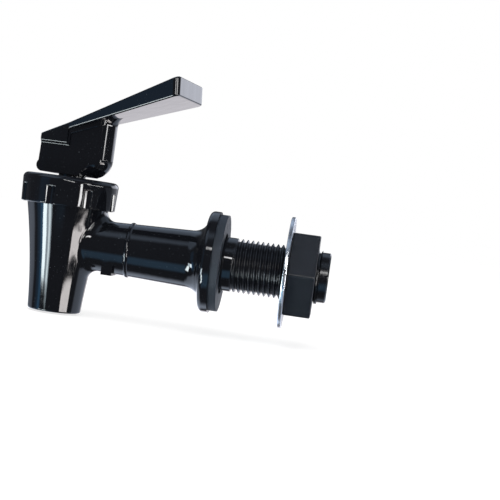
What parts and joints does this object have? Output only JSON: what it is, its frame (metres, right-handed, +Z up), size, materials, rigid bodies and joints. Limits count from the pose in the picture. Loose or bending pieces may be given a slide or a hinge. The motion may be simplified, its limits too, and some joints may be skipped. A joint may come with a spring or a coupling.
{
  "type": "beverage dispenser spigot",
  "caption": "Lever-operated dispenser spigot with a tapered barrel, fluted bonnet cap, flanged neck and threaded shank with gasket, washer and nut.",
  "frame": {"origin": "on the shank's axis, at the flange's seating face", "axes": "+X along the shank towards its free end, +Z up along the barrel, +Y to the left of someone who looks along +X"},
  "size_m": [0.0938, 0.034, 0.072],
  "materials": {
    "black_plastic": "polished black moulding",
    "nut_plastic": "satin black moulding",
    "silicone": "soft milky silicone",
    "spring_steel": "drawn wire",
    "washer_steel": "bright stamped steel",
    "gasket_rubber": "matte moulded rubber"
  },
  "bodies": {
    "body": {"faucet_body": "black_plastic", "rubber_gasket": "gasket_rubber"},
    "cartridge": {"seat_cup": "silicone"},
    "bonnet": {"bonnet_cap": "black_plastic"},
    "swivel": {"closing_spring": "spring_steel"},
    "stem": {"valve_stem": "black_plastic"},
    "lever": {"lever_handle": "black_plastic"},
    "washer": {"metal_washer": "washer_steel"},
    "nut": {"lock_nut": "nut_plastic"}
  },
  "joints": [
    {"name": "bonnet_lift", "type": "slide", "parent": "body", "child": "cartridge", "axis": [0, 0, 1], "range_m": [0, 0.006]},
    {"name": "bonnet_turn", "type": "hinge", "parent": "cartridge", "child": "bonnet", "pos_m": [-0.0459, 0, 0.015], "axis": [0, 0, 1], "range_deg": [0, 900]},
    {"name": "handle_swivel", "type": "hinge", "parent": "cartridge", "child": "swivel", "pos_m": [-0.0459, 0, 0.02], "axis": [0, 0, 1], "continuous": true},
    {"name": "stem_lift", "type": "slide", "parent": "swivel", "child": "stem", "axis": [0, 0, 1], "range_m": [0, 0.00215], "deforming": ["closing_spring", "seat_cup"]},
    {"name": "lever_tilt", "type": "hinge", "parent": "stem", "child": "lever", "pos_m": [-0.0459, 0, 0.0247], "axis": [0.1874, 0.9823, 0], "range_deg": [0, 22], "stiffness_Nm_per_rad": 0.03, "springref_deg": -57.3},
    {"name": "nut_travel", "type": "slide", "parent": "body", "child": "washer", "axis": [1, 0, 0], "range_m": [-0.0183, 0.012]},
    {"name": "nut_spin", "type": "hinge", "parent": "washer", "child": "nut", "pos_m": [0.026, 0, 0], "axis": [1, 0, 0], "range_deg": [-4392, 2880]}
  ],
  "couplings": [
    {"joint": "bonnet_lift", "follows": "bonnet_turn", "m_per_rad": 0.00038197},
    {"joint": "stem_lift", "follows": "lever_tilt", "m_per_rad": 0.0055},
    {"joint": "nut_travel", "follows": "nut_spin", "m_per_rad": 0.00023873}
  ]
}
